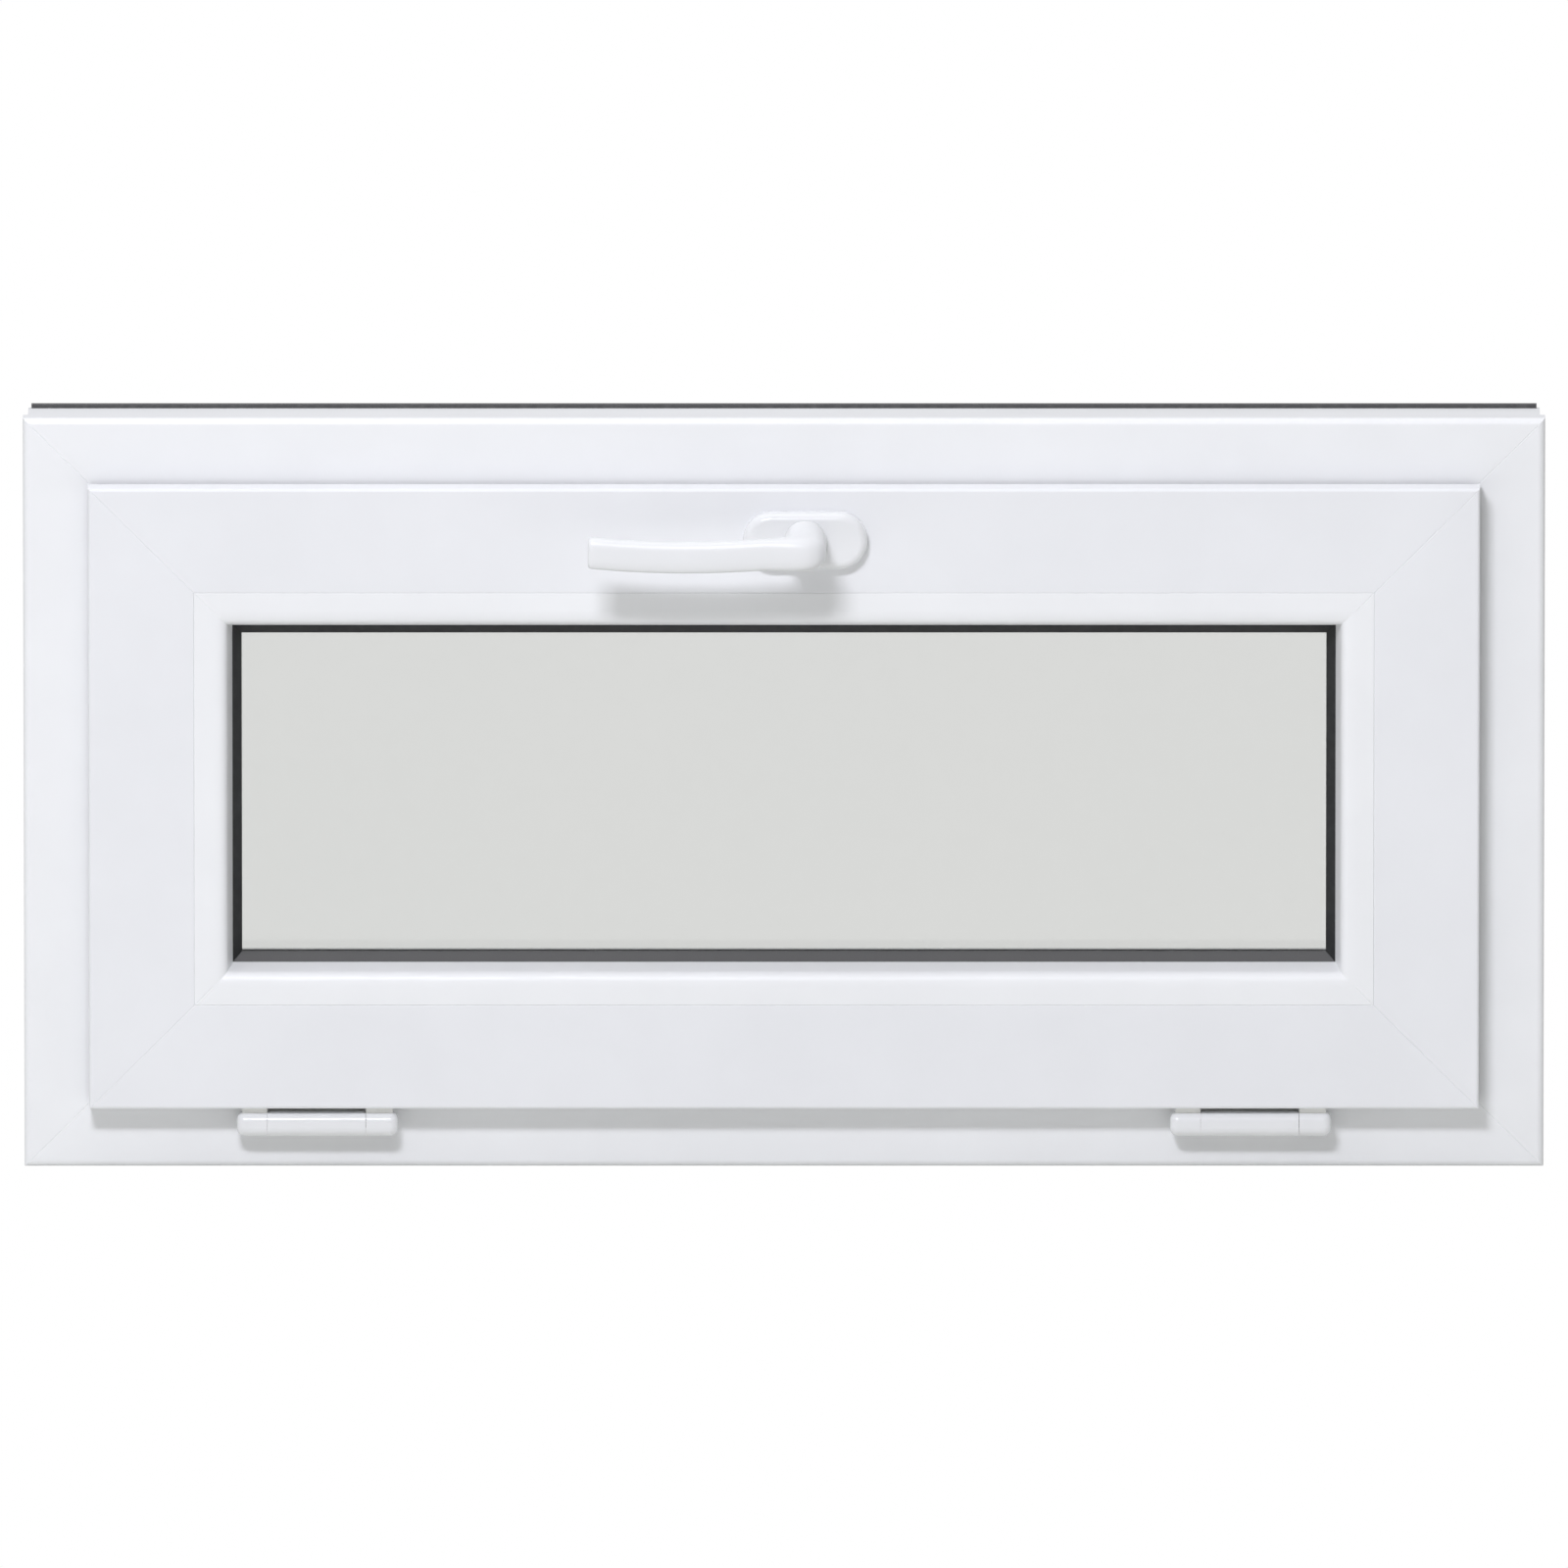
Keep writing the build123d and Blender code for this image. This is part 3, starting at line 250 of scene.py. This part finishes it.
# The bars of each kind need two materials, because the die lines run along the bar.
bar_colours = {"frame": WHITE_FRAME, "sash": WHITE_SASH, "bead": WHITE_FRAME}
across, upright = {}, {}
for kind, bar_colour in bar_colours.items():
    across[kind] = extruded_pvc(f"{kind}_pvc_across", bar_colour, ALONG_X)
    upright[kind] = extruded_pvc(f"{kind}_pvc_upright", bar_colour, ALONG_Z)
upright_bars = {
    "frame_left_jamb": upright["frame"],
    "frame_right_jamb": upright["frame"],
    "sash_left_stile": upright["sash"],
    "sash_right_stile": upright["sash"],
    "glazing_bead_left": upright["bead"],
    "glazing_bead_right": upright["bead"],
}
slot_materials = {
    "frame_pvc": across["frame"],
    "sash_pvc": across["sash"],
    "bead_pvc": across["bead"],
    "white_plastic": moulded_plastic("white_moulding", WHITE_GLOSS, 0.16, 0.24),
    "white_lacquer": powder_coat("white_powder_coat", WHITE_GLOSS),
    "coated_steel": powder_coat("white_coated_steel", srgb(238, 238, 234)),
    "galvanised_steel": galvanised("galvanised_steel"),
    "plated_steel": plated("zinc_plated_steel", srgb(196, 198, 200), 0.24, 0.4, ALONG_X),
    "bright_steel": plated("bright_screw_steel", srgb(208, 208, 206), 0.18, 0.32),
    "zinc_alloy": cast_alloy("die_cast_alloy"),
    "spacer_aluminium": plated("spacer_aluminium", srgb(214, 216, 218), 0.25, 0.38, ALONG_X),
    # The last colour of each rubber is a painted highlight, shown where its faces point up.
    "black_rubber": rubber("black_gasket_rubber", srgb(34, 35, 36), srgb(46, 47, 48), srgb(96, 96, 96)),
    "grey_sealing_strip": rubber(
        "grey_sealing_strip", srgb(72, 72, 73), srgb(86, 86, 86), srgb(92, 92, 92)
    ),
    "black_sealant": rubber("black_edge_sealant", srgb(30, 30, 31), srgb(38, 38, 38), srgb(44, 44, 44)),
    "packer_plastic": moulded_plastic("packer_plastic", srgb(60, 92, 150), 0.35, 0.5),
    "float_glass": float_glass("float_glass"),
}
node_slot = {part["node"]: part["material_slot"] for part in frame["record"]["subparts"]}
for node_name, node in nodes.items():
    finish = upright_bars.get(node_name, slot_materials[node_slot[node_name]])
    for place in node.material_slots:
        place.material = finish


# ---------------------------------------------------------------- handle lever
def ring_mesh(name, rings):
    """A closed mesh through rings of points that all have the same count."""
    count = len(rings[0])
    points = [point for ring in rings for point in ring]
    faces = []
    for index in range(len(rings) - 1):
        first, second = index * count, (index + 1) * count
        for step in range(count):
            after = (step + 1) % count
            faces.append((first + step, first + after, second + after, second + step))
    faces.append(tuple(reversed(range(count))))
    faces.append(tuple(range(len(points) - count, len(points))))
    mesh = bpy.data.meshes.new(name)
    mesh.from_pydata(points, [], faces)
    mesh.validate()
    piece = bpy.data.objects.new(name, mesh)
    bpy.context.scene.collection.objects.link(piece)
    for face in mesh.polygons:
        face.use_smooth = True
    return piece


def superellipse(start, end, height, power, count=32):
    """A ring round the level line from start to end: squarer than an ellipse above power 2."""
    centre, half = (start + end) / 2, (end - start) / 2
    ring = []
    for step in range(count):
        angle = 2 * math.pi * step / count
        cosine, sine = math.cos(angle), math.sin(angle)
        side = math.copysign(abs(cosine) ** (2 / power), cosine)
        rise = math.copysign(abs(sine) ** (2 / power), sine) * height / 2
        ring.append(centre + half * side + Vector((0, 0, rise)))
    return ring


def corner_reach(origin, way, wall_x, wall_y, radius):
    """How far a ray gets, going to +X and -Y, before it meets a rounded corner of two walls."""
    far, parallel = 1.0, 1e-6
    reach_x = (wall_x - origin.x) / way.x if way.x > parallel else far
    reach_y = (wall_y - origin.y) / way.y if way.y < -parallel else far
    reach = min(reach_x, reach_y)
    point = origin + way * reach
    centre = Vector((wall_x - radius, wall_y + radius, origin.z))
    if point.x <= centre.x or point.y >= centre.y:
        return reach
    offset = origin - centre
    half = way.dot(offset)
    return -half + math.sqrt(half * half - offset.length_squared + radius * radius)


lever_low, lever_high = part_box("handle_lever")
rose_low, rose_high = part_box("rose_cover")
lever_z = (rose_low.z + rose_high.z) / 2
neck_left, neck_right = lever_high.x - 28.5 * MM, lever_high.x
neck_height = lever_high.z - lever_low.z
neck_overlap = 0.6 * MM
neck_taper = 0.6 * MM
neck_power = 2.15
grip_height = 21.0 * MM
grip_front = lever_low.y + 1.6 * MM
grip_back = lever_low.y + 13.4 * MM
grip_rise = 1.0 * MM
grip_sag = 2.4 * MM
grip_power = 2.7
extra_height = (neck_height - grip_height) / 2
inner_radius = 13 * MM
outer_radius = 12 * MM
elbow_front = lever_low.y + 0.2 * MM
elbow_y = grip_back + inner_radius
elbow_easing = 1.4
elbow_pivot = Vector((neck_left - inner_radius, elbow_y, lever_z))
tip_round = 2.4 * MM
tip_shares = (0.55, 0.88, 1.0)


def neck_rings(steps=4):
    """Rings from just inside the rose to the elbow, a little smaller each time."""
    rings = []
    for step in range(steps):
        share = step / steps
        y = rose_low.y + neck_overlap + (elbow_y - rose_low.y) * share
        start = Vector((neck_left, y, lever_z))
        end = Vector((neck_right - neck_taper * share, y, lever_z))
        rings.append(superellipse(start, end, neck_height - extra_height * share, neck_power))
    return rings


def elbow_rings(steps=9):
    """Rings that fan out from the pivot, through a quarter turn from the neck to the grip."""
    rings = []
    for step in range(steps + 1):
        share = step / steps
        turn = share * math.pi / 2
        way = Vector((math.cos(turn), -math.sin(turn), 0))
        wall_y = elbow_front + (grip_front - elbow_front) * share
        reach = corner_reach(elbow_pivot, way, neck_right - neck_taper, wall_y, outer_radius)
        start, end = elbow_pivot + way * inner_radius, elbow_pivot + way * reach
        height = grip_height + extra_height * (1 - share) ** elbow_easing
        power = neck_power + (grip_power - neck_power) * share
        rings.append(superellipse(start, end, height, power))
    return rings


def grip_ring(x, z, inset=0.0):
    """A ring across the grip, made smaller all round by the inset."""
    start, end = Vector((x, grip_back - inset, z)), Vector((x, grip_front + inset, z))
    return superellipse(start, end, grip_height - 2 * inset, grip_power)


def grip_rings(steps=16):
    """Rings along the grip, which sags in the middle, and round its tip."""
    rings = []
    length = elbow_pivot.x - lever_low.x - tip_round
    for step in range(1, steps + 1):
        share = step / steps
        z = lever_z + grip_rise * share - 4 * grip_sag * share * (1 - share)
        rings.append(grip_ring(elbow_pivot.x - length * share, z))
    for share in tip_shares:
        inset = tip_round * (1 - math.sqrt(1 - share * share))
        rings.append(grip_ring(lever_low.x + tip_round * (1 - share), lever_z + grip_rise, inset))
    return rings


def build_lever():
    """The lever: a round neck out of the rose, a tight elbow, and a slim grip that sags a little."""
    lever = ring_mesh("lever", neck_rings() + elbow_rings() + grip_rings())
    lever.data.materials.append(slot_materials["white_lacquer"])
    smooth = lever.modifiers.new("smooth", "SUBSURF")
    smooth.levels = smooth.render_levels = 1
    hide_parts("handle_lever")
    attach(lever, "handle")


build_lever()


# ---------------------------------------------------------------- stage
def calculated(tree, operation, first, second):
    """The result of a calculation with two outputs or plain numbers, kept between 0 and 1."""
    node = tree.nodes.new("ShaderNodeMath")
    node.operation = operation
    node.use_clamp = True
    feed(tree, node.inputs[0], first)
    feed(tree, node.inputs[1], second)
    return node.outputs["Value"]


def seen_directly(tree):
    """1 for what the camera sees, straight or through glass, and 0 for what only lights the scene."""
    path = tree.nodes.new("ShaderNodeLightPath").outputs
    unlit = calculated(tree, "SUBTRACT", 1.0, path["Diffuse Depth"])
    through = calculated(tree, "MULTIPLY", path["Is Transmission Ray"], unlit)
    return calculated(tree, "MAXIMUM", path["Is Camera Ray"], through)


def white_to_the_eye(tree, lighting, white):
    """The white output where the camera sees it directly, and the lighting output elsewhere."""
    mix = tree.nodes.new("ShaderNodeMixShader")
    tree.links.new(seen_directly(tree), mix.inputs["Fac"])
    tree.links.new(lighting, mix.inputs[1])
    tree.links.new(white, mix.inputs[2])
    return mix.outputs["Shader"]


def backdrop_world():
    """White behind the window. What lights it is bluish, brighter overhead and a little to the left."""
    brightest_way = (-0.2, 0.0, 1.0)
    low_light, high_light = (0.16, 0.162, 0.165, 1.0), (0.636, 0.64, 0.649, 1.0)
    world = bpy.data.worlds.new("studio")
    bpy.context.scene.world = world
    world.use_nodes = True
    tree = world.node_tree
    tree.nodes.clear()
    place = tree.nodes.new("ShaderNodeTexCoord")
    height = tree.nodes.new("ShaderNodeVectorMath")
    height.operation = "DOT_PRODUCT"
    height.inputs[1].default_value = brightest_way
    tree.links.new(place.outputs["Generated"], height.inputs[0])
    ramp = tree.nodes.new("ShaderNodeValToRGB")
    ramp.color_ramp.interpolation = "EASE"
    ramp.color_ramp.elements[0].color = low_light
    ramp.color_ramp.elements[1].color = high_light
    tree.links.new(height.outputs["Value"], ramp.inputs["Fac"])
    sky = tree.nodes.new("ShaderNodeBackground")
    tree.links.new(ramp.outputs["Color"], sky.inputs["Color"])
    white = tree.nodes.new("ShaderNodeBackground")
    white.inputs["Color"].default_value = (1.0, 1.0, 1.0, 1.0)
    surface = white_to_the_eye(tree, sky.outputs["Background"], white.outputs["Background"])
    output = tree.nodes.new("ShaderNodeOutputWorld")
    tree.links.new(surface, output.inputs["Surface"])


def pale_floor():
    """A wide floor: plain white to the eye, and a soft warm bounce light for the window."""
    half = 9.0
    mesh = bpy.data.meshes.new("floor")
    corners = [(x * half, y * half, cad_low.z) for x, y in ((-1, -1), (1, -1), (1, 1), (-1, 1))]
    mesh.from_pydata(corners, [], [(0, 1, 2, 3)])
    floor = bpy.data.objects.new("floor", mesh)
    bpy.context.scene.collection.objects.link(floor)
    glow = {"Emission_Color": (1.0, 1.0, 0.96, 1.0), "Emission_Strength": 0.066}
    shader = Shader("pale_floor", Roughness=0.9, Specular_IOR_Level=0.0, **glow)
    tone = shader.colours(shader.noise(3.0, 2.0), srgb(229, 229, 225), srgb(231, 231, 227))
    shader.paint(tone)
    white = shader.add("ShaderNodeEmission").outputs["Emission"]
    surface = white_to_the_eye(shader.tree, shader.shader.outputs["BSDF"], white)
    shader.link(surface, shader.tree.nodes["Material Output"].inputs["Surface"])
    floor.data.materials.append(shader.material)


def area_light(name, position, target, size, power, colour):
    """A soft light of the given width and height that looks at a point."""
    data = bpy.data.lights.new(name, "AREA")
    data.shape = "RECTANGLE"
    data.size, data.size_y = size
    data.energy = power
    data.color = colour
    light = bpy.data.objects.new(name, data)
    light.location = position
    light.rotation_mode = "QUATERNION"
    light.rotation_quaternion = (Vector(target) - Vector(position)).to_track_quat("-Z", "Y")
    bpy.context.scene.collection.objects.link(light)


middle = Vector((0.0, (cad_low.y + cad_high.y) / 2, (cad_low.z + cad_high.z) / 2))
key_way = Vector((-0.23, -1.0, 0.787)).normalized()
key_distance = 5.0
key = middle + key_way * key_distance
overhead = middle + Vector((-0.3, 0.0, 2.6))
back_fill = middle + Vector((2.2, 3.6, 2.4))
straight_down = Vector((0.0, 0.0, -1.0))
backdrop_world()
pale_floor()
area_light("key", key, middle, (1.2, 0.55), 118.0, (0.975, 0.975, 1.05))
area_light("overhead", overhead, overhead + straight_down, (2.0, 1.4), 14.5, (1.0, 1.0, 1.02))
area_light("back_fill", back_fill, middle, (2.5, 2.5), 26.0, (1.0, 1.0, 1.0))


def photo_camera():
    """A long lens from a little above, square to the window."""
    elevation = math.radians(10.3)
    distance = 36.0
    shown_width = 1.032
    data = bpy.data.cameras.new("camera")
    data.sensor_width = 36.0
    data.lens = data.sensor_width * distance / shown_width
    data.clip_end = 120.0
    camera = bpy.data.objects.new("camera", data)
    back = Vector((0.0, -math.cos(elevation), math.sin(elevation)))
    target = Vector((0.0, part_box("frame_top_rail")[1].y / 2, (cad_low.z + cad_high.z) / 2))
    camera.location = target + back * distance
    camera.rotation_mode = "QUATERNION"
    camera.rotation_quaternion = (-back).to_track_quat("-Z", "Y")
    bpy.context.scene.collection.objects.link(camera)
    bpy.context.scene.camera = camera


photo_camera()
bpy.context.scene.view_settings.view_transform = "Standard"
bpy.context.scene.view_settings.look = "None"
